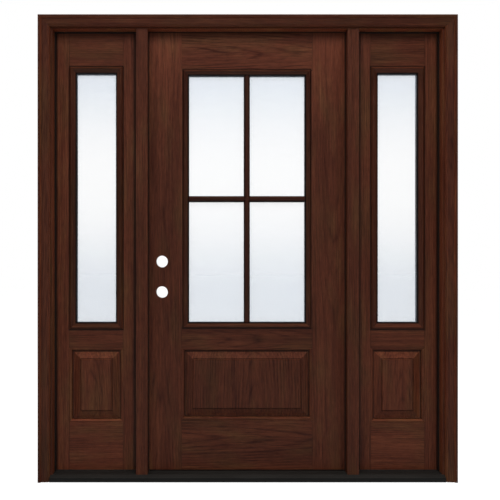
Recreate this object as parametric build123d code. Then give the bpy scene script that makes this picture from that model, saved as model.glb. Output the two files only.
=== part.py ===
from build123d import *
import os

# Exterior entry door unit: one inswing leaf with four panes over a raised panel, between two
# fixed sidelites, in one jamb frame with brickmould casing and a sill.
# Millimetres. X runs to the right as seen from outdoors, Y runs indoors, Z is up.
# The origin is on the underside of the sill, midway along it, in the plane where the casing
# lies against the outer face of the wall.

# Leaf and sidelites
door_width = 914.4
sidelite_width = 394.0
leaf_height = 2006.6
leaf_thickness = 44.45

# Frame
door_gap = 5.2
sidelite_gap = 3.0
jamb_depth = 116.0
jamb_wall = 19.05
mullion_core = 24.0
stop_cover = 9.7
head_stop_cover = 15.0
seal_space = 12.7

# Casing
casing_width = 50.8
casing_thickness = 31.75
casing_reveal = 9.3
head_casing_reveal = 5.5

# Sill
deck_height = 28.0
deck_sheet = 2.0
nose_reach = 24.0
nose_drop = 9.0
nose_round = 5.0
cap_thickness = 9.0
cap_lead = 12.0
rib_count = 3
rib_pitch = 14.0
rib_width = 5.0
rib_height = 0.8
rib_start = 12.0
rib_end_gap = 3.0
sweep_height = 6.0
sweep_inset = 6.0

# Stiles and rails. A stile is measured to its joint with the rails, a rail over its mouldings.
door_stile = 159.2
door_bottom_rail = 239.2
door_panel_height = 302.3
door_top_rail = 191.0
sidelite_stile = 74.3
sidelite_bottom_rail = 229.2
sidelite_panel_height = 312.3
sidelite_top_rail = 183.0
lock_rail = 109.1
sticking_width = 13.0
sticking_depth = 9.0
sticking_quirk = 2.5

# Glass and its mouldings
pane_thickness = 3.2
pane_space = 12.7
pane_play = 1.0
spacer_width = 9.0
spacer_show = 0.5
lite_rebate = 20.2
door_lite_lap = 8.8
sidelite_lite_lap = 15.5
lite_rise = 9.0
lite_lip = 2.5
muntin_width = 25.4
muntin_rise = 3.0

# Raised panel, from the opening's edge inwards: land, slope, shoulder with a quirk cut into it,
# riser, field
tongue_thickness = 12.0
tongue_depth = 9.0
panel_land = 7.0
panel_slope = 29.0
panel_shoulder = 3.0
panel_quirk = 2.5
panel_riser = 2.0
panel_riser_height = 2.4
panel_setback = 2.0
fit = 0.3

# Seals
seal_clearance = 5.0
seal_proud = 3.0
seal_round = 3.0
gasket_proud = 5.0

# Hinges
hinge_height = 101.6
hinge_leaf_width = 32.0
hinge_leaf_thickness = 2.6
hinge_corner = 6.35
knuckle_radius = 7.0
knuckle_count = 5
knuckle_gap = 0.4
pin_radius = 3.5
pin_clearance = 0.3
pin_head_radius = 5.6
pin_head_height = 3.0
knuckle_relief = 1.0
top_hinge_drop = 177.8
bottom_hinge_rise = 279.4

# Lock bores, and the recesses in the mullion that face them
bore_diameter = 54.0
bore_backset = 69.85
bore_spacing = 139.7
lower_bore_height = 841.0
lock_edge_bevel = 2.3
latch_diameter = 25.4
faceplate_width = 25.4
faceplate_height = 57.2
faceplate_depth = 3.2
strike_width = 28.6
strike_height = 70.0
strike_depth = 1.6
bolt_hole_diameter = 22.2
bolt_hole_depth = 12.7

# Places worked out from the sizes above
door_half = door_width / 2
door_rabbet = door_half + door_gap
door_stop = door_half - stop_cover
mullion_far = door_rabbet + mullion_core
sidelite_inner = mullion_far + sidelite_gap
mullion_stop = sidelite_inner + stop_cover
sidelite_outer = sidelite_inner + sidelite_width
jamb_stop = sidelite_outer - stop_cover
jamb_rabbet = sidelite_outer + sidelite_gap
jamb_outer = jamb_rabbet + jamb_wall
leaf_bottom = deck_height + door_gap
leaf_top = leaf_bottom + leaf_height
head_rabbet = leaf_top + door_gap
head_stop = leaf_top - head_stop_cover
head_top = head_rabbet + jamb_wall
leaf_front = jamb_depth - leaf_thickness
leaf_middle = jamb_depth - leaf_thickness / 2
stop_back = leaf_front - seal_space
glass_thickness = 2 * pane_thickness + pane_space
glass_recess = (leaf_thickness - glass_thickness) / 2
casing_inner = jamb_stop + casing_reveal
casing_outer = casing_inner + casing_width
casing_bottom_of_head = head_stop + head_casing_reveal
sidelite_centre = (sidelite_inner + sidelite_outer) / 2
cap_bottom = deck_height - cap_thickness
cap_front = leaf_front - cap_lead
pin_x = (door_half + door_rabbet) / 2
pin_y = jamb_depth + knuckle_radius + knuckle_relief
bore_x = bore_backset - door_half
bore_heights = (lower_bore_height, lower_bore_height + bore_spacing)

LEFT = -1
RIGHT = 1
EACH_SIDE = (("left", LEFT), ("right", RIGHT))


def block(x0, x1, y0, y1, z0, z1):
    """Box between two corners, given in any order along each axis."""
    size = Vector(abs(x1 - x0), abs(y1 - y0), abs(z1 - z0))
    middle = Vector((x0 + x1) / 2, (y0 + y1) / 2, (z0 + z1) / 2)
    return Pos(middle) * Box(size.X, size.Y, size.Z)


def upright(profile, z0, z1):
    """Post with a profile drawn in plan."""
    return extrude(Pos(0, 0, z0) * profile, z1 - z0, dir=(0, 0, 1))


def plan(points):
    """Closed outline from corner points."""
    return make_face(Polyline(*points, close=True))


def elevation(points):
    """Piece as thick as the leaf, from corner points x and z of its outline seen from outdoors."""
    face = Plane((0, leaf_front, 0), x_dir=(1, 0, 0), z_dir=(0, -1, 0)) * plan(points)
    return extrude(face, leaf_thickness, dir=(0, 1, 0))


def across(profile, length):
    """Bar along X, centred, with a profile drawn with y indoors and z up."""
    section = Plane((0, 0, 0), x_dir=(0, 1, 0), z_dir=(1, 0, 0)) * profile
    return extrude(section, length / 2, dir=(1, 0, 0), both=True)


def mirrored(shape, side):
    """The shape as drawn on the right, or its mirror image for the left."""
    return shape if side == RIGHT else mirror(shape, about=Plane.YZ)


def moulding_bar(profile, length, reach):
    """Straight bar along X with both ends mitred.

    The profile is drawn with u, away from the opening, along X and v, towards the viewer,
    along Y. The bar lies above an opening whose top edge is the X axis and is as wide as length.
    """
    section = Plane((0, 0, 0), x_dir=(0, 0, 1), z_dir=(1, 0, 0)) * profile
    bar = extrude(section, length / 2 + reach, dir=(1, 0, 0), both=True)
    corners = [
        (-length / 2, 0),
        (length / 2, 0),
        (length / 2 + reach, reach),
        (-length / 2 - reach, reach),
    ]
    mitre = extrude(Plane.XZ * plan(corners), 200, both=True)
    return bar & mitre


def moulding_ring(profile, width, height, reach):
    """Moulding carried round an upright opening centred on the origin, with mitred corners."""
    ring = None
    for turn, length, offset in ((0, width, height), (90, height, width),
                                 (180, width, height), (270, height, width)):
        bar = Rot(0, turn, 0) * (Pos(0, 0, offset / 2) * moulding_bar(profile, length, reach))
        ring = bar if ring is None else ring + bar
    return ring


def lite_profile(lap):
    """Section of the moulding round the glass, from the sight line out over the leaf's face.

    v is zero at the leaf's face and negative down to the glass.
    """
    width = lite_rebate + lap
    lip = (0, -lite_lip)
    crest_in = (0.5 * width, 0.7 * lite_rise)
    crest = (0.66 * width, lite_rise)
    crest_out = (0.82 * width, 0.62 * lite_rise)
    edge_in = (0.86 * width, 0.34 * lite_rise)
    edge_out = (width, 0.26 * lite_rise)
    with BuildSketch() as sketch:
        with BuildLine():
            Polyline((0, -glass_recess), lip)
            ThreePointArc(lip, (0.28 * width, 0.2 * lite_rise), crest_in)
            ThreePointArc(crest_in, crest, crest_out)
            Polyline(crest_out, edge_in, edge_out, (width, 0), (lite_rebate - fit, 0),
                     (lite_rebate - fit, -glass_recess), (0, -glass_recess))
        make_face()
    return sketch.sketch


def sticking_cut():
    """Section milled off the edges round a raised panel, which leaves a quirk and an ovolo."""
    clear = 1.0
    quirk = (sticking_width, -sticking_quirk)
    foot = (0, -sticking_depth)
    with BuildSketch() as sketch:
        with BuildLine():
            Polyline(foot, (-clear, -sticking_depth), (-clear, clear), (sticking_width, clear), quirk)
            ThreePointArc(quirk, (0.34 * sticking_width, -0.36 * sticking_depth), foot)
        make_face()
    return sketch.sketch


def panel_outline(half):
    """Section across a raised panel whose opening is twice half wide, centred on the origin."""
    thin = tongue_thickness / 2
    field = leaf_thickness / 2 - panel_setback
    shoulder = field - panel_riser_height
    steps = [(half + tongue_depth, thin)]
    for run, height in ((tongue_depth + panel_land, thin), (panel_slope, shoulder),
                        (panel_shoulder, shoulder), (panel_riser, field)):
        steps.append((steps[-1][0] - run, height))
    front = steps + [(-place, height) for place, height in reversed(steps)]
    return plan(front + [(place, -height) for place, height in reversed(front)])


def panel_quirk_cut():
    """Section of the groove run round the foot of a panel's riser."""
    mouth = -panel_setback
    floor = mouth - panel_riser_height - panel_quirk
    return plan([(0, floor), (panel_shoulder, floor), (panel_shoulder, mouth), (0, mouth)])


def on_both_faces(shape):
    """A moulding drawn with v outdoors, set on the outdoor face, and its mirror image indoors."""
    outdoors = Pos(0, leaf_front, 0) * shape
    indoors = Pos(0, jamb_depth, 0) * mirror(shape, about=Plane.XZ)
    return outdoors, indoors


class Leaf:
    """Stiles, rails, panel, glass and mouldings of the door or of a sidelite."""

    def __init__(self, centre, width, stile, bottom_rail, panel_height, top_rail, lite_lap):
        self.centre = centre
        self.half = width / 2
        self.joint = self.half - stile
        self.edge = self.joint - sticking_width
        self.sight = self.edge - lite_rebate
        self.panel_bottom = leaf_bottom + bottom_rail
        self.panel_top = self.panel_bottom + panel_height
        self.lite_bottom = self.panel_top + lock_rail
        self.lite_top = leaf_top - top_rail
        self.lite_middle = (self.lite_bottom + self.lite_top) / 2
        self.sight_height = self.lite_top - self.lite_bottom - 2 * lite_rebate
        self.lite_lap = lite_lap

    def at(self, shape):
        return Pos(self.centre, 0, 0) * shape

    def stile_outline(self, side):
        """A stile's moulded edges stand out between the rails, which are coped over them."""
        points = [(self.half, leaf_bottom), (self.joint, leaf_bottom),
                  (self.joint, self.panel_bottom - sticking_width), (self.edge, self.panel_bottom),
                  (self.edge, self.panel_top), (self.joint, self.panel_top + sticking_width),
                  (self.joint, self.lite_bottom), (self.edge, self.lite_bottom),
                  (self.edge, self.lite_top), (self.joint, self.lite_top),
                  (self.joint, leaf_top), (self.half, leaf_top)]
        return [(side * x, z) for x, z in points]

    def rail_outline(self, square, moulded, turn):
        """Rail between its square edge and its moulded edge, mitred at the moulded corners."""
        shy = moulded - turn * sticking_width
        return [(-self.joint, square), (self.joint, square), (self.joint, shy),
                (self.edge, moulded), (-self.edge, moulded), (-self.joint, shy)]

    def sticking(self):
        height = self.panel_top - self.panel_bottom
        ring = moulding_ring(sticking_cut(), 2 * self.edge, height, sticking_width)
        outdoors, indoors = on_both_faces(Pos(0, 0, (self.panel_top + self.panel_bottom) / 2) * ring)
        return outdoors + indoors

    def groove(self):
        half = tongue_thickness / 2 + fit
        reach = tongue_depth + fit
        side = self.edge + reach
        return block(-side, side, leaf_middle - half, leaf_middle + half,
                     self.panel_bottom - reach, self.panel_top + reach)

    def sweep_groove(self):
        return block(-self.half, self.half, leaf_front + sweep_inset, jamb_depth - sweep_inset,
                     leaf_bottom, leaf_bottom + sweep_height)

    def frame_members(self):
        """Two stiles that run full height and three rails between them."""
        cuts = self.sticking() + self.groove()
        top_rail = block(-self.joint, self.joint, leaf_front, jamb_depth, self.lite_top, leaf_top)
        return {
            "stile_low_x": elevation(self.stile_outline(LEFT)) - cuts,
            "stile_high_x": elevation(self.stile_outline(RIGHT)) - cuts,
            "top_rail": top_rail,
            "middle_rail": elevation(self.rail_outline(self.lite_bottom, self.panel_top, -1)) - cuts,
            "bottom_rail": elevation(self.rail_outline(leaf_bottom, self.panel_bottom, 1)) - cuts,
        }

    def panel(self):
        """Panel with a raised field on both faces and a tongue that sits in the grooves."""
        height = self.panel_top - self.panel_bottom
        centre = (self.panel_top + self.panel_bottom) / 2
        post = extrude(Pos(0, leaf_middle, 0) * panel_outline(self.edge), leaf_height, both=True)
        section = Pos(leaf_middle, centre) * (Rot(0, 0, 90) * panel_outline(height / 2))
        margin = 2 * (panel_land + panel_slope + panel_shoulder)
        quirk = moulding_ring(panel_quirk_cut(), 2 * self.edge - margin, height - margin,
                              panel_shoulder)
        outdoors, indoors = on_both_faces(Pos(0, 0, centre) * quirk)
        return (post & across(section, 2 * self.half)) - outdoors - indoors

    def glass(self):
        """Two panes of an insulated unit."""
        reach = lite_rebate - pane_play
        half = self.sight + reach
        low = self.lite_bottom + pane_play
        high = self.lite_top - pane_play
        front = leaf_front + glass_recess
        back = jamb_depth - glass_recess
        outer = block(-half, half, front, front + pane_thickness, low, high)
        inner = block(-half, half, back - pane_thickness, back, low, high)
        return [outer, inner]

    def spacer(self):
        """Rim between the panes, a little of which shows inside the sight line."""
        half = self.sight - spacer_show
        tall = self.sight_height / 2 - spacer_show
        front = leaf_front + glass_recess + pane_thickness
        back = front + pane_space
        rim = block(-half - spacer_width, half + spacer_width, front, back,
                    self.lite_middle - tall - spacer_width, self.lite_middle + tall + spacer_width)
        return rim - block(-half, half, front, back, self.lite_middle - tall, self.lite_middle + tall)

    def lite_frames(self):
        ring = moulding_ring(lite_profile(self.lite_lap), 2 * self.sight, self.sight_height,
                             lite_rebate + self.lite_lap)
        return on_both_faces(Pos(0, 0, self.lite_middle) * ring)

    def muntin_cross(self):
        """Upright and level bar that cross in front of the glass, and the pair behind it."""
        depth = glass_recess + muntin_rise
        half = muntin_width / 2
        shoulder = 0.55 * depth
        land = 0.45 * half
        section = plan([(-half, 0), (half, 0), (half, shoulder), (land, depth), (-land, depth),
                        (-half, shoulder)])
        level = extrude(Plane((0, 0, 0), x_dir=(0, 0, 1), z_dir=(1, 0, 0)) * section,
                        self.sight, dir=(1, 0, 0), both=True)
        stand = extrude(Plane((0, 0, 0), x_dir=(-1, 0, 0), z_dir=(0, 0, 1)) * section,
                        self.sight_height / 2, dir=(0, 0, 1), both=True)
        return on_both_faces(Pos(0, glass_recess, self.lite_middle) * (level + stand))


def the_door():
    return Leaf(0, door_width, door_stile, door_bottom_rail, door_panel_height, door_top_rail,
                door_lite_lap)


def the_sidelite():
    return Leaf(sidelite_centre, sidelite_width, sidelite_stile, sidelite_bottom_rail,
                sidelite_panel_height, sidelite_top_rail, sidelite_lite_lap)


def save(name, *shapes):
    """Write the named piece, with one solid or several that don't touch."""
    solids = []
    for shape in shapes:
        solids += shape.solids()
    whole = solids[0] if len(solids) == 1 else Compound(children=solids)
    export_step(whole, f"parts/{name}.step")


def casing_profile():
    """Brickmould section: u from the inner edge outwards, v out from the wall."""
    w = casing_width
    t = casing_thickness
    with BuildSketch() as sketch:
        with BuildLine():
            Polyline((0, 0), (0, 0.42 * t))
            ThreePointArc((0, 0.42 * t), (0.035 * w, 0.58 * t), (0.12 * w, 0.64 * t))
            Polyline((0.12 * w, 0.64 * t), (0.14 * w, 0.72 * t), (0.6 * w, 0.78 * t),
                     (0.62 * w, 0.72 * t))
            ThreePointArc((0.62 * w, 0.72 * t), (0.7 * w, 0.76 * t), (0.76 * w, 0.93 * t))
            Polyline((0.76 * w, 0.93 * t), (0.78 * w, t), (0.95 * w, t))
            ThreePointArc((0.95 * w, t), (0.985 * w, 0.975 * t), (w, 0.92 * t))
            Polyline((w, 0.92 * t), (w, 0), (0, 0))
        make_face()
    return sketch.sketch


def make_casing():
    """Brickmould: two legs that stand on the floor and a head, mitred where they meet."""
    profile = casing_profile()
    head = moulding_bar(profile, 2 * casing_inner, casing_width)
    save("brickmould_head", Pos(0, 0, casing_bottom_of_head) * head)
    tall = 2 * casing_bottom_of_head
    turned = Rot(0, 90, 0) * (Pos(0, 0, casing_inner) * moulding_bar(profile, tall, casing_width))
    leg = turned & block(0, 2 * casing_outer, -2 * casing_thickness, 0, 0, 2 * head_top)
    for name, side in EACH_SIDE:
        save(f"brickmould_{name}", mirrored(leg, side))


def head_jamb():
    """Board over all three openings, out to the side jambs' outer faces."""
    return block(-jamb_outer, jamb_outer, 0, jamb_depth, head_rabbet, head_top)


def side_jamb():
    """Board on the right, from the sill up to the head jamb."""
    return block(jamb_rabbet, jamb_outer, 0, jamb_depth, deck_height, head_rabbet)


def mullion():
    """Post on the right, between the door's rabbet and the sidelite's."""
    return block(door_rabbet, mullion_far, stop_back, jamb_depth, deck_height, head_rabbet)


def frame_stops():
    """Stop bar under the head jamb, and under it the four uprights that it is scribed to.

    An upright on each side jamb stops the sidelite. One before each mullion is as wide as the
    mullion shows from outdoors, and stops the door on one side and the sidelite on the other.
    """
    over = block(-jamb_rabbet, jamb_rabbet, 0, stop_back, head_stop, head_rabbet)
    uprights = []
    for inner, outer in ((jamb_stop, jamb_rabbet), (door_stop, mullion_stop)):
        upright_stop = block(inner, outer, 0, stop_back, deck_height, head_stop - fit)
        uprights += [mirrored(upright_stop, LEFT), upright_stop]
    return [over, *uprights]


def sill_section(inset):
    """Side view of the sill, y indoors and z up, with its nose sloped and rounded."""
    front = inset - nose_reach
    top = deck_height - inset
    nose_top = top - nose_drop
    with BuildSketch() as sketch:
        with BuildLine():
            Polyline((jamb_depth, 0), (front, 0), (front, nose_top - nose_round))
            RadiusArc((front, nose_top - nose_round), (front + nose_round, nose_top), nose_round)
            Polyline((front + nose_round, nose_top), (0, top), (jamb_depth, top), (jamb_depth, 0))
        make_face()
    return sketch.sketch


def sill_body(inset):
    """Sill as wide as the jambs, with a nose that fits between the casing's legs."""
    body = across(sill_section(inset), 2 * jamb_outer)
    for side in (LEFT, RIGHT):
        body -= block(side * casing_inner, side * jamb_outer, -2 * nose_reach, 0, 0, deck_height)
    return body


def deck_ribs():
    """Low ribs along the deck in front of the door and of each sidelite."""
    bays = ((-door_stop, door_stop), (mullion_stop, jamb_stop), (-jamb_stop, -mullion_stop))
    ribs = []
    for low, high in bays:
        for index in range(rib_count):
            front = rib_start + index * rib_pitch
            ribs.append(block(low + rib_end_gap, high - rib_end_gap, front, front + rib_width,
                              deck_height, deck_height + rib_height))
    return ribs


def make_sill():
    """Composite core under a folded metal deck, and the cap that the door closes over."""
    cap = block(-jamb_outer, jamb_outer, cap_front, jamb_depth, cap_bottom, deck_height)
    inner = sill_body(deck_sheet)
    deck = sill_body(0) - inner - cap
    for rib in deck_ribs():
        deck += rib
    save("sill_core", inner - cap)
    save("sill_deck", deck)
    save("threshold_cap", cap)
    pad = block(mullion_far, jamb_rabbet, leaf_front, jamb_depth, deck_height, leaf_bottom)
    for name, side in EACH_SIDE:
        save(f"sidelite_{name}_pad", mirrored(pad, side))


def seal_section(x0, x1, y1):
    """Seal in plan, from the stop's back face to y1, with its two far corners rounded."""
    outline = plan([(x0, stop_back), (x1, stop_back), (x1, y1), (x0, y1)])
    return fillet(outline.vertices().group_by(Axis.Y)[-1], seal_round)


def make_seals():
    """Bulb seals on the door's stops, and flat gaskets between each sidelite and its stops."""
    reach = leaf_front - seal_clearance
    inner = door_stop - seal_proud
    post = upright(seal_section(inner, door_rabbet, reach), deck_height, head_rabbet)
    section = seal_section(head_stop - seal_proud, head_rabbet, reach)
    over = extrude(Plane((0, 0, 0), x_dir=(0, 0, 1), z_dir=(-1, 0, 0)) * section,
                   inner - fit, dir=(1, 0, 0), both=True)
    save("door_seals", mirrored(post, LEFT), post, over)
    ring = block(sidelite_inner, sidelite_outer, stop_back, leaf_front, deck_height, leaf_top)
    ring -= block(mullion_stop + gasket_proud, jamb_stop - gasket_proud, stop_back, leaf_front,
                  deck_height, head_stop - gasket_proud)
    save("sidelite_gaskets", mirrored(ring, LEFT), ring)


def hinge_centres():
    """Heights of the middles of the three hinges, from the top one down."""
    top = leaf_top - top_hinge_drop - hinge_height / 2
    bottom = leaf_bottom + bottom_hinge_rise + hinge_height / 2
    return top, (top + bottom) / 2, bottom


def hinge_plate(x0, x1, z):
    """Plate with the two corners away from the barrel rounded."""
    outline = Pos(hinge_leaf_width / 2, 0) * Rectangle(hinge_leaf_width, hinge_height)
    outline = fillet(outline.vertices().group_by(Axis.X)[-1], hinge_corner)
    seat = Plane((x0, jamb_depth, z), x_dir=(0, -1, 0), z_dir=(1, 0, 0))
    return extrude(seat * outline, x1 - x0, dir=(1, 0, 0))


def hinge_leaf(x0, x1, z, first):
    """Flat leaf with every other knuckle, bored for the pin."""
    leaf = hinge_plate(x0, x1, z)
    pitch = hinge_height / knuckle_count
    for index in range(first, knuckle_count, 2):
        low = z - hinge_height / 2 + index * pitch + knuckle_gap / 2
        high = low + pitch - knuckle_gap
        barrel = Pos(pin_x, pin_y, (low + high) / 2) * Cylinder(knuckle_radius, high - low)
        leaf += barrel + block(x0, x1, jamb_depth, pin_y, low, high)
    bore = Pos(pin_x, pin_y, z) * Cylinder(pin_radius + pin_clearance, 2 * hinge_height)
    return leaf - bore


def hinge_pin(z):
    """Pin with a button at each end of the barrel."""
    pin = Cylinder(pin_radius, hinge_height)
    for end in (-1, 1):
        button = Cylinder(pin_head_radius, pin_head_height)
        pin += Pos(0, 0, end * (hinge_height + pin_head_height) / 2) * button
    return Pos(pin_x, pin_y, z) * pin


def make_hinges():
    """Three butt hinges, each a leaf on the mullion, a leaf on the door and a pin."""
    frame_leaves = []
    door_leaves = []
    pins = []
    for z in hinge_centres():
        frame_leaves.append(hinge_leaf(door_rabbet, door_rabbet + hinge_leaf_thickness, z, 0))
        door_leaves.append(hinge_leaf(door_half - hinge_leaf_thickness, door_half, z, 1))
        pins.append(hinge_pin(z))
    save("hinge_frame_leaves", *frame_leaves)
    save("hinge_door_leaves", *door_leaves)
    save("hinge_pins", *pins)


def hinge_mortises(x0, x1):
    cuts = None
    for z in hinge_centres():
        plate = hinge_plate(x0, x1, z)
        cuts = plate if cuts is None else cuts + plate
    return cuts


def edge_recess(x, width, height, depth, turn):
    """Shallow recesses with rounded corners, one beside each bore, sunk into the face at x."""
    cuts = None
    for z in bore_heights:
        seat = Plane((x, leaf_middle, z), x_dir=(0, 1, 0), z_dir=(1, 0, 0))
        cut = extrude(seat * RectangleRounded(width, height, width / 4), depth, dir=(turn, 0, 0))
        cuts = cut if cuts is None else cuts + cut
    return cuts


def edge_holes(x, diameter, length, turn):
    """Round holes along X, one beside each bore, from x on."""
    cuts = None
    for z in bore_heights:
        hole = Rot(0, 90, 0) * Cylinder(diameter / 2, length)
        cut = Pos(x + turn * length / 2, leaf_middle, z) * hole
        cuts = cut if cuts is None else cuts + cut
    return cuts


def lock_bores():
    """Bores for the handle set and the bolt above it, each with its latch bore from the edge."""
    cuts = edge_holes(-door_half, latch_diameter, bore_backset, RIGHT)
    cuts += edge_recess(-door_half, faceplate_width, faceplate_height,
                        faceplate_depth + lock_edge_bevel / 2, RIGHT)
    through = Rot(90, 0, 0) * Cylinder(bore_diameter / 2, 2 * leaf_thickness)
    for z in bore_heights:
        cuts += Pos(bore_x, leaf_middle, z) * through
    return cuts


def strike_recesses():
    """Recesses for two strike plates, each over the hole that a bolt goes into."""
    holes = edge_holes(-door_rabbet, bolt_hole_diameter, strike_depth + bolt_hole_depth, LEFT)
    return holes + edge_recess(-door_rabbet, strike_width, strike_height, strike_depth, LEFT)


def lock_edge_wedge():
    """What the bevel takes off the lock edge, so that its outdoor corner swings clear."""
    outline = plan([(-door_half, jamb_depth), (-door_half, leaf_front),
                    (-door_half + lock_edge_bevel, leaf_front)])
    return upright(outline, leaf_bottom, leaf_top)


def make_door():
    door = the_door()
    members = door.frame_members()
    foot = door.sweep_groove()
    wedge = lock_edge_wedge()
    save("door_lock_stile", members["stile_low_x"] - wedge - lock_bores() - foot)
    hinge_cuts = hinge_mortises(door_half - hinge_leaf_thickness, door_half)
    save("door_hinge_stile", members["stile_high_x"] - hinge_cuts - foot)
    save("door_top_rail", members["top_rail"])
    save("door_lock_rail", members["middle_rail"])
    save("door_bottom_rail", members["bottom_rail"] - foot)
    save("door_sweep", foot - wedge)
    save("door_panel", door.panel())
    save("door_glass", *door.glass())
    save("door_glass_spacer", door.spacer())
    pairs = {"lite_frame": door.lite_frames(), "muntins": door.muntin_cross()}
    for piece, (outdoors, indoors) in pairs.items():
        save(f"door_{piece}_outside", outdoors)
        save(f"door_{piece}_inside", indoors)


def make_sidelites():
    leaf = the_sidelite()
    members = leaf.frame_members()
    outdoors, indoors = leaf.lite_frames()
    pieces = {
        "stiles": [members["stile_low_x"], members["stile_high_x"]],
        "rails": [members["top_rail"], members["middle_rail"], members["bottom_rail"]],
        "panel": [leaf.panel()],
        "glass": leaf.glass(),
        "glass_spacer": [leaf.spacer()],
        "lite_frame_outside": [outdoors],
        "lite_frame_inside": [indoors],
    }
    for piece, shapes in pieces.items():
        for name, side in EACH_SIDE:
            placed = [mirrored(leaf.at(shape), side) for shape in shapes]
            save(f"sidelite_{name}_{piece}", *placed)


def make_frame():
    """Boards round the openings, the mullions, and the stops on them."""
    save("head_jamb", head_jamb())
    for name, side in EACH_SIDE:
        save(f"jamb_{name}", mirrored(side_jamb(), side))
    save("mullion_left", mirrored(mullion(), LEFT) - strike_recesses())
    hinge_cuts = hinge_mortises(door_rabbet, door_rabbet + hinge_leaf_thickness)
    save("mullion_right", mullion() - hinge_cuts)
    save("frame_stops", *frame_stops())


os.makedirs("parts", exist_ok=True)
make_casing()
make_frame()
make_sill()
make_seals()
make_hinges()
make_door()
make_sidelites()
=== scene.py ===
import bmesh
import bpy
import numpy as np
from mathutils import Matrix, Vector


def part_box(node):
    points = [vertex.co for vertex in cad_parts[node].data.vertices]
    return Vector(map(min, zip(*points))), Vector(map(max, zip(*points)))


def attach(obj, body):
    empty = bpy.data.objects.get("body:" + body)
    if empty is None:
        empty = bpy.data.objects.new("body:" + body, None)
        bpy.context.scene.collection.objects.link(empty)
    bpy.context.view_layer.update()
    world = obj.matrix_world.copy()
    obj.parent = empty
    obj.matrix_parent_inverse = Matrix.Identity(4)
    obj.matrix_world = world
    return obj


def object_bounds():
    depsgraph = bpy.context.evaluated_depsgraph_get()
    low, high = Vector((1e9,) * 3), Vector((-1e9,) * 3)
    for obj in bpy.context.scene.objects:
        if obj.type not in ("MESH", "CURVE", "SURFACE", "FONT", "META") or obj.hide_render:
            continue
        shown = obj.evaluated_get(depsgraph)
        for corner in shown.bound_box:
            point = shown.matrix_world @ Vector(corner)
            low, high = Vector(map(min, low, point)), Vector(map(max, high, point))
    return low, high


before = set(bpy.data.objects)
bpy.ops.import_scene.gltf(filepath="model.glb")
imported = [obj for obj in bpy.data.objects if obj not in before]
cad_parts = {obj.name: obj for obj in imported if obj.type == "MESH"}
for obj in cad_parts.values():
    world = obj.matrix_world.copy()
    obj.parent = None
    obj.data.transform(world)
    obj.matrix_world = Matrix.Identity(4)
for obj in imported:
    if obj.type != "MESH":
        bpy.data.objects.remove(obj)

cad_low, cad_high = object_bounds()

# The photograph's camera: metres, and pixels of its 500 by 500 frame
frame_px = 500
focal_px = 878.4
axis_px = (214.0, 248.5)
eye_left = 0.15
eye_height = 1.0405
eye_distance = 3.9
sight_end = 60.0
sensor_mm = 36.0

# Sizes of the unit, in metres, that its finishes and new pieces are placed by
head_stop_height = 0.0202
pane_bite = 0.0192
muntin_half = 0.0127
quirk_inset = 0.0465
panel_tongue = 0.009
hinge_height = 0.1016

LEFT, RIGHT = -1, 1
FRONT, BACK = -1, 1


# Camera and lights

def make_camera():
    """Camera that looks straight at the wall, left of the door's middle and at half its height."""
    data = bpy.data.cameras.new("camera")
    data.sensor_width = sensor_mm
    data.lens = focal_px / frame_px * sensor_mm
    data.shift_x = (frame_px / 2 - axis_px[0]) / frame_px
    data.shift_y = (axis_px[1] - frame_px / 2) / frame_px
    data.clip_end = sight_end
    camera = bpy.data.objects.new("camera", data)
    camera.location = (-eye_left, cad_low.y - eye_distance, eye_height)
    camera.rotation_euler = (np.pi / 2, 0, 0)
    bpy.context.collection.objects.link(camera)
    bpy.context.scene.camera = camera


def softbox(name, place, target, size, power):
    """Large rectangular light that neither the camera nor a gloss sees."""
    data = bpy.data.lights.new(name, "AREA")
    data.shape = "RECTANGLE"
    data.size, data.size_y = size
    data.energy = power
    light = bpy.data.objects.new(name, data)
    light.location = place
    light.rotation_euler = (Vector(target) - Vector(place)).to_track_quat("-Z", "Y").to_euler()
    light.visible_camera = False
    light.visible_glossy = False
    bpy.context.collection.objects.link(light)


# Shader expressions

class Wire:
    """A shader socket that takes part in Python sums: each operator adds the Math node it needs."""

    def __init__(self, shading, socket):
        self.shading = shading
        self.socket = socket

    def maths(self, operation, *values):
        return self.shading.node("ShaderNodeMath", {"operation": operation}, dict(enumerate(values)))

    def __add__(self, other):
        return self.maths("ADD", self, other)

    def __sub__(self, other):
        return self.maths("SUBTRACT", self, other)

    def __mul__(self, other):
        return self.maths("MULTIPLY", self, other)

    def __truediv__(self, other):
        return self.maths("DIVIDE", self, other)

    def __radd__(self, other):
        return self.maths("ADD", other, self)

    def __rsub__(self, other):
        return self.maths("SUBTRACT", other, self)

    def __rmul__(self, other):
        return self.maths("MULTIPLY", other, self)

    def __gt__(self, other):
        return self.maths("GREATER_THAN", self, other)

    def __lt__(self, other):
        return self.maths("LESS_THAN", self, other)

    def __abs__(self):
        return self.maths("ABSOLUTE", self)

    def sine(self):
        return self.maths("SINE", self)

    def root(self):
        return self.maths("SQRT", self)

    def larger(self, other):
        return self.maths("MAXIMUM", self, other)

    def smaller(self, other):
        return self.maths("MINIMUM", self, other)

    def smooth(self, zero, one):
        """Runs softly from 0, where the value is zero, to 1, where it is one, upwards or downwards."""
        return self.shading.node("ShaderNodeMapRange", {"interpolation_type": "SMOOTHSTEP"},
                                 {"Value": self, "From Min": zero, "From Max": one})


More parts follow.
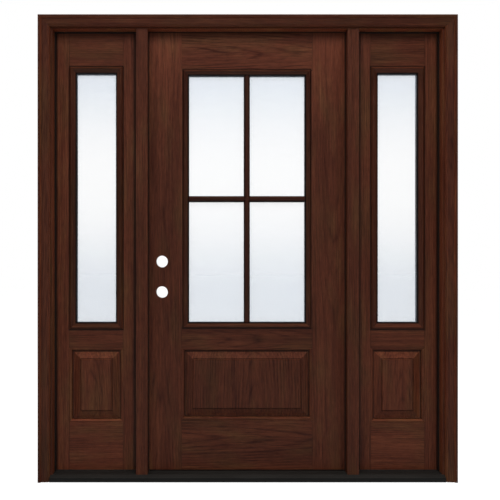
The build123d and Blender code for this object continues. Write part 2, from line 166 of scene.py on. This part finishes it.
class Shading:
    """A node tree that shader expressions are written into."""

    def __init__(self, tree):
        self.tree = tree
        self.tree.nodes.clear()

    def node(self, kind, settings=None, values=None, output=0):
        """Adds a node of that type: its settings first, then its sockets' values or links."""
        made = self.tree.nodes.new(kind)
        for name, setting in (settings or {}).items():
            if name == "stops":
                ramp = made.color_ramp.elements
                for spare in range(len(setting) - len(ramp)):
                    ramp.new(0.5)
                for element, (position, colour) in zip(ramp, setting):
                    element.position = position
                    element.color = (*colour, 1)
            else:
                setattr(made, name, setting)
        for name, value in (values or {}).items():
            socket = made.inputs[name]
            if isinstance(value, Wire):
                self.tree.links.new(value.socket, socket)
            elif socket.type == "RGBA":
                socket.default_value = (*value, 1)
            else:
                socket.default_value = value
        return Wire(self, made.outputs[output])

    def end(self, kind, shader):
        out = self.tree.nodes.new(kind)
        self.tree.links.new(shader.socket, out.inputs["Surface"])


class Finish(Shading):
    """A material that is put together from shader expressions."""

    def __init__(self, name):
        self.material = bpy.data.materials.new(name)
        self.material.use_nodes = True
        super().__init__(self.material.node_tree)
        self.place = self.node("ShaderNodeTexCoord", output="Object")
        self.x, self.y, self.z = self.parts(self.place)

    def vector(self, x, y, z):
        return self.node("ShaderNodeCombineXYZ", None, {0: x, 1: y, 2: z})

    def parts(self, vector):
        """The vector's X, Y and Z."""
        split = self.node("ShaderNodeSeparateXYZ", None, {0: vector})
        return [Wire(self, socket) for socket in split.socket.node.outputs]

    def facing(self):
        """How far the surface looks to the right and upwards, each from -1 to 1."""
        normal = self.parts(self.node("ShaderNodeNewGeometry", output="Normal"))
        return normal[0], normal[2]

    def noise(self, vector, scale=1.0, detail=2.0, rough=0.5, seed=0.0):
        """Smooth noise between 0 and 1 with its mean near a half."""
        return self.node("ShaderNodeTexNoise", {"noise_dimensions": "4D"},
                         {"Vector": vector, "W": seed, "Scale": scale, "Detail": detail,
                          "Roughness": rough})

    def stretched(self, x, y, z, detail=2.0):
        """Noise with about that many features a metre along X, Y and Z."""
        return self.noise(self.vector(self.x * x, self.y * y, self.z * z), detail=detail)

    def ramp(self, factor, stops):
        return self.node("ShaderNodeValToRGB", {"stops": stops}, {0: factor})

    def blend(self, factor, first, second):
        """Colour that runs from the first to the second."""
        return self.node("ShaderNodeMix", {"data_type": "RGBA"}, {0: factor, 6: first, 7: second},
                         output=2)

    def tinted(self, factor, colour, tint):
        """The colour multiplied by a tint where the factor is 1."""
        return self.node("ShaderNodeMix", {"data_type": "RGBA", "blend_type": "MULTIPLY"},
                         {0: factor, 6: colour, 7: tint}, output=2)

    def shaded(self, factor, colour):
        """The colour made darker or lighter by a factor that varies over the surface."""
        grey = self.node("ShaderNodeCombineColor", None, {0: factor, 1: factor, 2: factor})
        return self.tinted(1.0, colour, grey)

    def bump(self, height, distance, strength=1.0):
        return self.node("ShaderNodeBump", None,
                         {"Height": height, "Distance": distance, "Strength": strength})

    def surface(self, **sockets):
        """Ends the material in one Principled shader with these sockets."""
        shader = self.node("ShaderNodeBsdfPrincipled", None,
                           {name.replace("_", " "): value for name, value in sockets.items()})
        self.end("ShaderNodeOutputMaterial", shader)
        return self.material


def make_world(seen, felt, mirrored):
    """Pale surroundings: white where the camera looks at them, dimmer as a light and in a gloss."""
    world = bpy.data.worlds.new("studio")
    world.use_nodes = True
    bpy.context.scene.world = world
    t = Shading(world.node_tree)
    camera = t.node("ShaderNodeLightPath", output="Is Camera Ray")
    gloss = t.node("ShaderNodeLightPath", output="Is Glossy Ray")
    strength = felt + camera * (seen - felt) + gloss * (mirrored - felt)
    back = t.node("ShaderNodeBackground", None, {"Color": (1, 1, 1), "Strength": strength})
    t.end("ShaderNodeOutputWorld", back)


# Stained wood

# The stain from its darkest to its lightest tone, and the tint of its olive patches
stain_stops = [
    (0.05, (0.0237, 0.0043, 0.0017)),
    (0.5, (0.0555, 0.0131, 0.0055)),
    (0.98, (0.1020, 0.0280, 0.0117)),
]
olive = (0.96, 1.34, 1.15)

# Layers of the grain: features a metre across it and along it, levels of detail, roughness
grain_layers = {
    "slow": (7, 1.3, 2, 0.5),
    "sway": (3, 0.8, 1, 0.5),
    "ripple": (60, 4, 2, 0.5),
    "streak": (210, 5, 4, 0.65),
    "pores": (1100, 40, 1, 0.5),
    "drift": (11, 1.6, 2, 0.5),
    "band": (42, 1.1, 2, 0.5),
    "fade": (25, 7, 2, 0.5),
    "patch": (14, 4, 3, 0.5),
    "fleck": (300, 24, 2, 0.5),
}

# Steps between the seeds of two layers and of two boards
layer_step = 4
board_step = 7.3

# How far the rings are pushed about: metres by the first two layers, radians by the ripple
slow_push = 0.024
sway_push = 0.06
ripple_push = 3

# What makes the tone: the plain wood, a ring's line at its strongest, and the other layers
plain_tone = 0.56
line_weight = 0.34
layer_weights = {"streak": 1.25, "fleck": 0.8, "band": 0.6, "drift": 0.5}

# Between which values of its layer a line, a pore or an olive patch comes in
line_rise = (0.3, 0.7)
pore_rise = (0.56, 0.72)
patch_rise = (0.42, 0.72)

# How much darker a pore is, and how deep the grain is, in metres
pore_darkness = 0.4
grain_depth = 0.00035

# Painted light, which makes the stain lighter: on slopes that look up, on faces that look squarely
# at an opening, and on the stops of the head and of the jambs, which lie further out than the mullions'
# stops
steepest_slope = 0.45
slope_painted_light = 1.4
squarely = (0.6, 0.95)
mullion_stops_end = 0.7
jamb_stop_painted_light = 1.4
head_stop_painted_light = 4.4

# Heights, in metres above the floor, over which painted light makes a board lighter towards its top, and
# over which a board gets lighter towards its foot
painted_top_light_span = (1.45, 2.0)
foot_span = (0.45, 0.15)

# Painted shade: how dark the level glazing bar is beside the upright one
level_bar_painted_shade = 0.82

# Dark lines: real dark joints where rails meet stiles, and painted shade beside the stops, along a
# pane's moulding, along glazing bars' edges and in a panel's quirk and groove. The distances, in metres,
# at which each has faded out and at which it is full
joint_glaze = (0.0022, 0.0006)
near_stop_painted_shade = (0.0356, 0.0196)
far_stop_painted_shade = (0.0274, 0.0154)
outer_edge_painted_shade = (0.0050, 0.0022)
inner_edge_painted_shade = (0.0068, 0.0038)
bar_edge_painted_shade = (0.0075, 0.0110)
quirk_painted_shade = (0.0035, 0.0015)
groove_painted_shade = (0.006, 0.001)
outer_edge_strength = 0.9
inner_edge_strength = 1.25
quirk_strength = 0.3
joint_and_shade_most = 1.25
joint_and_shade_darkness = 0.74


class Board:
    """How one CAD node is cut from timber and stained.

    shape says what it is. A plain board is upright or level, as its grain runs. A rail is level
    and meets a stile at each end. A stile is a sidelite's, with its two edges behind stops. A
    field is a raised panel, a ring the moulding round a pane, width wide, a cross the glazing
    bars and a portal the stops.
    heart is the growth rings' centre, across the board from its middle and behind its face, tilt
    is how far the rings lean along the board, ring how far apart they are and figure how strong
    their lines are. tone lightens or darkens the stain, painted_top_light is painted light that
    lightens it near the door's top, and foot lightens it near its bottom. reveal is the direction,
    in X and Z, in which a jamb's or a casing's face towards the opening looks. Painted light makes
    those faces lighter, against the shade of the recess, and reveal_painted_light says by how much.
    """

    def __init__(self, shape="upright", heart=(0.0, 0.07), tilt=0.05, ring=0.0085, tone=1.0,
                 figure=1.0, painted_top_light=0.0, foot=0.0, reveal=None, reveal_painted_light=1.1, width=None):
        self.shape = shape
        self.heart = heart
        self.tilt = tilt
        self.ring = ring
        self.tone = tone
        self.figure = figure
        self.painted_top_light = painted_top_light
        self.foot = foot
        self.reveal = reveal
        self.reveal_painted_light = reveal_painted_light
        self.width = width


def grain_axes(f, board, low, high):
    """Distance across the grain, from the board's middle, and distance along it.

    Round a pane the moulding's four sides meet in mitres, so a point is on the side whose outer
    edge is nearest, and the distance across counts from that edge, negative inwards. The stops and
    the glazing bars have their grain along each stop and each bar.
    """
    centre = (low + high) / 2
    half = (high - low) / 2
    x, z = f.x - centre.x, f.z - centre.z
    if board.shape == "ring":
        side, level = abs(x) - half.x, abs(z) - half.z
        on_side = side > level
        return side.larger(level), on_side * z + (1 - on_side) * x
    if board.shape == "portal":
        over = f.z > high.z - head_stop_height
        return over * z + (1 - over) * x, over * x + (1 - over) * z
    if board.shape == "cross":
        on_upright = abs(x) < muntin_half
        return on_upright * x + (1 - on_upright) * z, on_upright * z + (1 - on_upright) * x
    return (z, x) if board.shape in ("level", "rail") else (x, z)


def joints_and_painted_shade(f, board, across, low, high):
    """How dark the real dark joints and the painted shade are: in joints, beside stops, along moulded
    edges and bar edges and in a panel's quirk and groove, or None for neither.
    """
    if board.shape == "rail":
        return abs(f.x - low.x).smooth(*joint_glaze) + abs(f.x - high.x).smooth(*joint_glaze)
    if board.shape == "stile":
        near, far = sorted((abs(low.x), abs(high.x)))
        return (abs(f.x) - near).smooth(*near_stop_painted_shade) + (far - abs(f.x)).smooth(*far_stop_painted_shade)
    if board.shape == "ring":
        outer = (0 - across).smooth(*outer_edge_painted_shade) * outer_edge_strength
        return outer + (across + board.width).smooth(*inner_edge_painted_shade) * inner_edge_strength
    if board.shape == "cross":
        return abs(across).smooth(*bar_edge_painted_shade)
    if board.shape == "field":
        inset_x = (f.x - low.x).smaller(high.x - f.x)
        inset_z = (f.z - low.z).smaller(high.z - f.z)
        inset = inset_x.smaller(inset_z)
        quirk = abs(inset - quirk_inset).smooth(*quirk_painted_shade) * quirk_strength
        return quirk + (inset - panel_tongue).smooth(*groove_painted_shade)
    return None


def tone_and_painted_light(f, board, across, low, high):
    """How much lighter or darker than plain stain the board is from place to place: its tone, its dark
    joints, and painted light and painted shade.
    """
    sideways, up = f.facing()
    # Painted light: slopes that look up are lighter, as if lit from above
    slope = up.larger(0.0).smaller(steepest_slope)
    shade = board.tone * (1 + slope * slope_painted_light)
    # Painted light on faces that look into the opening, against the shade of the recess
    if board.reveal:
        towards = sideways * board.reveal[0] + up * board.reveal[1]
        shade = shade * (1 + towards.smooth(*squarely) * board.reveal_painted_light)
    # Painted light on the jamb stops' sides and on the head stop's underside, against their shade
    if board.shape == "portal":
        beside = abs(sideways).smooth(*squarely) * (abs(f.x) > mullion_stops_end)
        below = (0 - up).smooth(*squarely)
        shade = shade * (1 + beside * jamb_stop_painted_light + below * head_stop_painted_light)
    # Painted shade: the level glazing bar darker than the upright one
    if board.shape == "cross":
        shade = shade * (level_bar_painted_shade + (1 - level_bar_painted_shade) * (abs(f.x) < muntin_half))
    # Painted light: lighter towards the door's top, as if lit from above
    if board.painted_top_light:
        shade = shade * (1 + f.z.smooth(*painted_top_light_span) * board.painted_top_light)
    if board.foot:
        shade = shade * (1 + f.z.smooth(*foot_span) * board.foot)
    # Dark joints, and painted shade beside stops, along moulded and bar edges and in a panel's quirk and
    # groove
    line = joints_and_painted_shade(f, board, across, low, high)
    if line is not None:
        shade = shade * (1 - line.smaller(joint_and_shade_most) * joint_and_shade_darkness)
    return shade


def stained_wood(name, board, low, high, seed):
    """Cherry stain on open-grained timber.

    Growth rings are circles about the heart, pushed about by slow noise, so a flat-sawn face cuts
    them as arches and a face far from the heart as straight lines. Each ring ends in a thin dark
    line that comes and goes. Over them go bands, long streaks and short flecks of denser stain,
    dark pores along the grain, olive patches and a slow drift of tone.
    """
    f = Finish(name)
    across, along = grain_axes(f, board, low, high)
    depth = f.y - low.y
    layers = {}
    for step, (title, (cross, length, detail, rough)) in enumerate(grain_layers.items()):
        place = f.vector(across * cross, depth * cross, along * length)
        layers[title] = f.noise(place, detail=detail, rough=rough, seed=seed + step * layer_step)

    def centred(title):
        return layers[title] - 0.5

    u = across - board.heart[0] + centred("slow") * slow_push
    w = depth + board.heart[1] + along * board.tilt + centred("sway") * sway_push
    radius = (u * u + w * w).root()
    ring = 1 - abs((radius * (np.pi / board.ring) + centred("ripple") * ripple_push).sine())
    lines = ring * ring * layers["fade"].smooth(*line_rise) * board.figure
    tone = plain_tone - lines * line_weight
    for title, weight in layer_weights.items():
        tone = tone + centred(title) * weight
    pores = layers["pores"].smooth(*pore_rise)
    colour = f.tinted(layers["patch"].smooth(*patch_rise), f.ramp(tone, stain_stops), olive)
    shade = tone_and_painted_light(f, board, across, low, high) * (1 - pores * pore_darkness)
    height = tone * 0.5 + (1 - pores) * 0.5
    return f.surface(Base_Color=f.shaded(shade, colour),
                     Roughness=0.36 + pores * 0.2 + layers["streak"] * 0.12,
                     Specular_IOR_Level=0.26, Coat_Weight=0.06, Coat_Roughness=0.25,
                     Normal=f.bump(height, grain_depth, 0.5))


def moulding_width(part):
    """Width of the moulding round a pane, from its outer edge to the opening."""
    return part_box(f"{part}_glass")[0].x + pane_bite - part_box(f"{part}_lite_frame_outside")[0].x


def wooden_nodes():
    """Every wooden CAD node with the way it is cut and stained, and the painted light and painted shade
    it gets.
    """
    boards = {
        "brickmould_head": Board("level", heart=(0.2, 0.2), ring=0.006, tone=0.84, reveal=(0, -1),
                                 reveal_painted_light=2.1),
        "brickmould_left": Board(heart=(0.03, 0.04), ring=0.006, tone=0.82, reveal=(1, 0)),
        "brickmould_right": Board(heart=(-0.02, 0.05), ring=0.006, tone=0.97, reveal=(-1, 0)),
        "head_jamb": Board("level", heart=(0.05, 0.1), tone=1.1, reveal=(0, -1), reveal_painted_light=2.1),
        "jamb_left": Board(heart=(0.06, 0.05), tone=1.1, reveal=(1, 0), reveal_painted_light=1.5),
        "jamb_right": Board(heart=(-0.07, 0.05), tone=1.1, reveal=(-1, 0), reveal_painted_light=1.5),
        "frame_stops": Board("portal", heart=(0.3, 0.09), ring=0.007),
        "mullion_left": Board(heart=(0.02, 0.09), ring=0.007, tone=0.93),
        "mullion_right": Board(heart=(-0.03, 0.09), ring=0.007, tone=0.93),
        "door_lock_stile": Board(heart=(-0.02, 0.09), tilt=0.03, ring=0.009, tone=1.07, painted_top_light=0.48),
        "door_hinge_stile": Board(heart=(0.03, 0.11), tilt=-0.03, ring=0.009, tone=1.11, painted_top_light=0.48),
        "door_top_rail": Board("rail", heart=(-0.01, 0.05), tilt=0.07, ring=0.011, tone=1.4,
                               figure=2.0),
        "door_lock_rail": Board("rail", heart=(0.0, 0.08), tone=0.97, figure=1.4),
        "door_bottom_rail": Board("rail", heart=(0.02, 0.06), ring=0.011, tone=1.06, figure=1.8),
        "door_panel": Board("field", heart=(0.04, 0.06), tilt=0.09, ring=0.012, tone=0.97,
                            figure=1.5),
    }
    for face in ("outside", "inside"):
        boards[f"door_lite_frame_{face}"] = Board("ring", heart=(0.03, 0.03), ring=0.005, tone=0.66,
                                                  width=moulding_width("door"))
        boards[f"door_muntins_{face}"] = Board("cross", heart=(0.02, 0.03), ring=0.005, tone=0.58)
    for name, side in (("left", LEFT), ("right", RIGHT)):
        part = f"sidelite_{name}"
        boards[f"{part}_stiles"] = Board("stile", heart=(0.01 * side, 0.1), tilt=0.02,
                                         tone=1.31 - 0.07 * side)
        boards[f"{part}_rails"] = Board("rail", heart=(0.3, 0.1), tone=1.25, foot=0.17)
        boards[f"{part}_panel"] = Board("field", heart=(0.02 * side, 0.05), tilt=0.1, ring=0.011,
                                        tone=1.28)
        for face in ("outside", "inside"):
            boards[f"{part}_lite_frame_{face}"] = Board("ring", heart=(0.03, 0.03), ring=0.005,
                                                        tone=0.78, width=moulding_width(part))
    return boards


# Other finishes

def glass_with_painted_reflection(name, low, high):
    """Pane with a painted reflection: pale, and a little bluer and denser towards its bottom and its
    top.
    """
    f = Finish(name)
    level = (f.z - low.z) / (high.z - low.z)
    # Painted reflection: paler in the middle, bluer and denser towards the bottom and the top
    shade = level.smooth(0.53, 0.12) + level.smooth(0.58, 1.10) * 1.3
    haze = f.stretched(2, 1, 2)
    colour = f.blend(shade, (0.92, 0.94, 0.97), (0.68, 0.76, 0.86))
    return f.surface(Base_Color=f.shaded(0.97 + haze * 0.05, colour), Roughness=0.02 + haze * 0.02,
                     Alpha=0.05 + shade * 0.11 + haze * 0.03, IOR=1.5)


def matt_skin(f, skin, stops, roughness, depth):
    """Ends a matt finish, in which one noise drives the colour, the roughness and the height."""
    return f.surface(Base_Color=f.ramp(skin, stops), Roughness=roughness + skin * 0.2,
                     Normal=f.bump(skin, depth))


def edge_spacer(name):
    """Dark foam strip between the panes."""
    f = Finish(name)
    stops = [(0.3, (0.008, 0.008, 0.009)), (0.7, (0.02, 0.02, 0.022))]
    return matt_skin(f, f.noise(f.place, scale=900), stops, roughness=0.65, depth=0.0002)


def moulded_composite(name):
    """Dark moulded composite with a faint grained skin."""
    f = Finish(name)
    stops = [(0.25, (0.010, 0.009, 0.008)), (0.75, (0.024, 0.022, 0.019))]
    return matt_skin(f, f.stretched(40, 500, 500, detail=3), stops, roughness=0.55, depth=0.0002)


def seal_rubber(name):
    """Soft dark brown seal with a matt skin."""
    f = Finish(name)
    stops = [(0.3, (0.005, 0.0035, 0.003)), (0.7, (0.011, 0.008, 0.0065))]
    return matt_skin(f, f.noise(f.place, scale=420), stops, roughness=0.6, depth=0.0001)


def sealant_and_painted_shade(name):
    """Dark brown sealant, smooth from the tooling knife; its darkness also stands in for the shade along
    a pane's edge.
    """
    f = Finish(name)
    stops = [(0.3, (0.013, 0.0045, 0.003)), (0.7, (0.024, 0.009, 0.006))]
    return matt_skin(f, f.noise(f.place, scale=250), stops, roughness=0.5, depth=0.0001)


def bronze_deck(name):
    """Dark anodised aluminium, drawn along the sill, with fine die lines, and flat tops paler with dust
    and with painted light.
    """
    f = Finish(name)
    lines = f.stretched(3, 900, 900)
    patch = f.stretched(6, 20, 20, detail=3)
    up = f.facing()[1]
    # Dust, and painted light: flat tops that look up are paler and rougher
    dust_and_painted_light = up.smooth(0.75, 0.98) * (0.6 + patch * 0.8)
    metal = f.ramp(lines * 0.6 + patch * 0.4,
                   [(0.3, (0.0095, 0.009, 0.0082)), (0.7, (0.017, 0.016, 0.0145))])
    colour = f.blend(dust_and_painted_light * 0.8, metal, (0.043, 0.041, 0.037))
    return f.surface(Base_Color=colour, Metallic=0.4, Roughness=0.32 + patch * 0.15 + dust_and_painted_light * 0.2,
                     Normal=f.bump(lines, 0.0001, 0.6))


def plated_steel(name):
    """Oil-rubbed bronze plating, brushed upright, rubbed brighter in patches."""
    f = Finish(name)
    brushed = f.stretched(1500, 1500, 30)
    rubbed = f.noise(f.place, scale=60, detail=3).smooth(0.5, 0.75)
    colour = f.blend(rubbed * 0.7, (0.075, 0.050, 0.036), (0.26, 0.165, 0.10))
    return f.surface(Base_Color=colour, Metallic=0.45, Roughness=0.3 + brushed * 0.18,
                     Normal=f.bump(brushed, 0.00005, 0.5))


def pale_floor(name):
    """Pale studio floor that glows for the camera alone, so that it runs into the surroundings."""
    f = Finish(name)
    patch = f.noise(f.place, scale=0.6)
    lit = f.ramp(patch, [(0.3, (0.24, 0.24, 0.24)), (0.7, (0.26, 0.26, 0.26))])
    glow = f.node("ShaderNodeEmission", None, {"Color": (1, 1, 1), "Strength": 0.87})
    matt = f.node("ShaderNodeBsdfDiffuse", None, {"Color": lit})
    both = f.node("ShaderNodeAddShader", None, {0: glow, 1: matt})
    seen = f.node("ShaderNodeLightPath", output="Is Camera Ray")
    f.end("ShaderNodeOutputMaterial", f.node("ShaderNodeMixShader", None, {0: seen, 1: matt, 2: both}))
    return f.material


def dress(node, material):
    """Gives a CAD node its finish."""
    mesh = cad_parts[node].data
    mesh.materials.clear()
    mesh.materials.append(material)


# New pieces

# A bead of sealant, whose dark colour also stands in for the shade along a pane's edge: over the glass,
# up the moulding's lip, and how deep it lies in each
bead_over_glass = 0.0010
bead_up_lip = 0.0022
bead_in_lip = 0.0002
bead_in_glass = 0.0001
bead_steps = 6

# A screw: its head's profile from the middle of its top, and the half width, the side slope, the
# reach, the run-out and the depth of its cross recess
head_radius = np.array([0, 0.3, 0.6, 0.9, 1.3, 1.8, 2.3, 2.8, 3.5, 4.2, 3.0, 0]) * 1e-3
head_height = np.array([0.95, 0.95, 0.94, 0.92, 0.88, 0.81, 0.72, 0.61, 0.4, 0.0, -0.6, -0.6]) * 1e-3
head_steps = 48
recess_half = 0.00075
recess_side = 0.0003
recess_reach = 0.0028
recess_end = 0.0009
recess_depth = 0.00075

# The screws of a hinge leaf: up from its middle and in from the jambs' indoor edge, and how much
# further each is turned than the one above it and than those of a hinge a metre lower
screw_places = ((0.039, 0.011), (0.014, 0.021), (-0.014, 0.011), (-0.039, 0.021))
screw_turn = 0.7
hinge_turn = 11

merge_distance = 1e-6


def grid_mesh(name, grids, wrap_rows=False, wrap_columns=False):
    """Mesh of grids of points, shape (grids, rows, columns, 3), with quads between neighbours.

    Points that coincide, as at a pole, are merged, and faces are turned outwards.
    """
    count, rows, columns = grids.shape[:3]
    index = np.arange(count * rows * columns).reshape(count, rows, columns)
    if wrap_rows:
        index = np.concatenate([index, index[:, :1]], axis=1)
    if wrap_columns:
        index = np.concatenate([index, index[:, :, :1]], axis=2)
    corners = [index[:, :-1, :-1], index[:, :-1, 1:], index[:, 1:, 1:], index[:, 1:, :-1]]
    quads = np.stack(corners, axis=-1)
    mesh = bpy.data.meshes.new(name)
    mesh.from_pydata(grids.reshape(-1, 3).tolist(), [], quads.reshape(-1, 4).tolist())
    merged = bmesh.new()
    merged.from_mesh(mesh)
    bmesh.ops.remove_doubles(merged, verts=merged.verts, dist=merge_distance)
    bmesh.ops.recalc_face_normals(merged, faces=merged.faces)
    merged.to_mesh(mesh)
    merged.free()
    return mesh


def place_piece(name, mesh, body, material):
    """Adds a mesh as a piece that rides on a body."""
    piece = bpy.data.objects.new(name, mesh)
    bpy.context.collection.objects.link(piece)
    mesh.materials.append(material)
    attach(piece, body)


def bead_ring(x0, x1, z0, z1, y, out):
    """Points of a bead of sealant round a pane, shape (4, 7, 3).

    The section is a quarter of an ellipse: the reach over the glass is a cosine and the height up
    the moulding's lip a sine, both set back by how deep the bead lies in the lip and in the glass.
    One more point, inside both, closes it. The section is carried round the rectangle: at each
    corner a point lies at the corner plus its reach times the signs of the corner, which point
    inwards, and at the glass plus its height.
    """
    turn = np.linspace(0, np.pi / 2, bead_steps)
    reach = np.append((bead_over_glass + bead_in_lip) * np.cos(turn), 0.0) - bead_in_lip
    height = np.append((bead_up_lip + bead_in_glass) * np.sin(turn), 0.0) - bead_in_glass
    corner_x, sign_x = np.array([x0, x1, x1, x0]), np.array([1, -1, -1, 1])
    corner_z, sign_z = np.array([z0, z0, z1, z1]), np.array([1, 1, -1, -1])
    x = corner_x[:, None] + sign_x[:, None] * reach
    z = corner_z[:, None] + sign_z[:, None] * reach
    return np.stack([x, np.broadcast_to(y + out * height, x.shape), z], axis=-1)


def glazing_beads(glass, body, openings, material):
    """Beads round each opening of a pane, on both faces: one, or four between glazing bars."""
    low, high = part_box(glass)
    x0, x1 = low.x + pane_bite, high.x - pane_bite
    z0, z1 = low.z + pane_bite, high.z - pane_bite
    middle_x, middle_z = (x0 + x1) / 2, (z0 + z1) / 2
    spans_x, spans_z = [(x0, x1)], [(z0, z1)]
    if openings == 4:
        spans_x = [(x0, middle_x - muntin_half), (middle_x + muntin_half, x1)]
        spans_z = [(z0, middle_z - muntin_half), (middle_z + muntin_half, z1)]
    rings = [bead_ring(*span_x, *span_z, y, out)
             for y, out in ((low.y, FRONT), (high.y, BACK)) for span_x in spans_x for span_z in spans_z]
    mesh = grid_mesh(f"{glass}_beads", np.array(rings), wrap_rows=True, wrap_columns=True)
    place_piece(f"{glass}_beads", mesh, body, material)


def screw_head(place, out, turn):
    """Points of a raised countersunk screw head with a cross recess, shape (12, 48, 3).

    The profile runs over a low dome and back under the plate, and is turned about the screw's
    axis: a point lies at its radius times the cosine and the sine of its angle. It sinks by the
    recess's depth times two slopes, one down either side of each arm of a cross, the other up to
    the arms' ends.
    """
    angle = np.linspace(0, 2 * np.pi, head_steps, endpoint=False)
    r, a = np.meshgrid(head_radius, angle, indexing="ij")
    y, z = r * np.cos(a + turn), r * np.sin(a + turn)
    near = np.minimum(np.abs(r * np.cos(a)), np.abs(r * np.sin(a)))
    in_arm = np.clip((recess_half - near) / recess_side, 0, 1)
    in_reach = np.clip((recess_reach - r) / recess_end, 0, 1)
    sunk = (head_height > 0)[:, None] * in_arm * in_reach
    x = out * (head_height[:, None] - recess_depth * sunk)
    return np.array(place) + np.stack([x, y, z], axis=-1)


def hinge_screws(node, body, face, out, material):
    """Four screws in each of the three hinge leaves of a node, in a zigzag as hinges have them."""
    low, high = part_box(node)
    jambs_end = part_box("head_jamb")[1].y
    top, bottom = high.z - hinge_height / 2, low.z + hinge_height / 2
    heads = []
    for centre in (top, (top + bottom) / 2, bottom):
        for row, (rise, inset) in enumerate(screw_places):
            place = (face, jambs_end - inset, centre + rise)
            heads.append(screw_head(place, out, screw_turn * row + hinge_turn * centre))
    mesh = grid_mesh(f"{node}_screws", np.array(heads), wrap_columns=True)
    place_piece(f"{node}_screws", mesh, body, material)


def lay_floor(reach):
    """Level square at the foot of the unit, whose corners lie at plus and minus its reach."""
    ends = np.array([-reach, reach])
    x, y = np.meshgrid(ends, ends[::-1], indexing="ij")
    mesh = grid_mesh("floor", np.stack([x, y, np.zeros_like(x)], axis=-1)[None])
    mesh.materials.append(pale_floor("pale_floor"))
    floor = bpy.data.objects.new("floor", mesh)
    bpy.context.collection.objects.link(floor)


# The scene

make_camera()
bpy.context.scene.view_settings.view_transform = "Standard"
make_world(seen=1.0, felt=0.52, mirrored=0.13)
for name, side in (("front", FRONT), ("back", BACK)):
    softbox(f"{name}_key", place=(0, side * 3.3, 3.5), target=(0, 0, 1.1), size=(3.0, 1.6), power=105)
    softbox(f"{name}_fill", place=(0, side * 4.6, 1.5), target=(0, 0, 1.0), size=(2.0, 1.6), power=26)
for name, side in (("left", LEFT), ("right", RIGHT)):
    softbox(f"{name}_softbox", place=(side * 4.2, 0, 2.4), target=(0, 0, 1.0), size=(1.6, 1.6), power=70)
lay_floor(reach=30.0)

# Sealant whose dark colour also stands in for the shade along each pane's edge
beads = sealant_and_painted_shade("sealant_and_painted_shade")
hinge_metal = plated_steel("plated_steel")
plain_finishes = (
    (bronze_deck("bronze_deck"), ("sill_deck",)),
    (moulded_composite("moulded_composite"),
     ("sill_core", "threshold_cap", "sidelite_left_pad", "sidelite_right_pad")),
    (seal_rubber("seal_rubber"), ("door_seals", "sidelite_gaskets", "door_sweep")),
    (hinge_metal, ("hinge_frame_leaves", "hinge_door_leaves", "hinge_pins")),
    (edge_spacer("edge_spacer"),
     ("door_glass_spacer", "sidelite_left_glass_spacer", "sidelite_right_glass_spacer")),
)
for finish, nodes in plain_finishes:
    for node in nodes:
        dress(node, finish)
for seed, (node, board) in enumerate(wooden_nodes().items()):
    dress(node, stained_wood(f"{node}_stain", board, *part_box(node), seed * board_step))

panes = (("door_glass", "door", 4), ("sidelite_left_glass", "frame", 1),
         ("sidelite_right_glass", "frame", 1))
for node, body, openings in panes:
    dress(node, glass_with_painted_reflection(f"{node}_clear", *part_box(node)))
    glazing_beads(node, body, openings, beads)
hinge_screws("hinge_frame_leaves", "frame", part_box("mullion_right")[0].x, LEFT, hinge_metal)
hinge_screws("hinge_door_leaves", "door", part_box("door_hinge_stile")[1].x, RIGHT, hinge_metal)
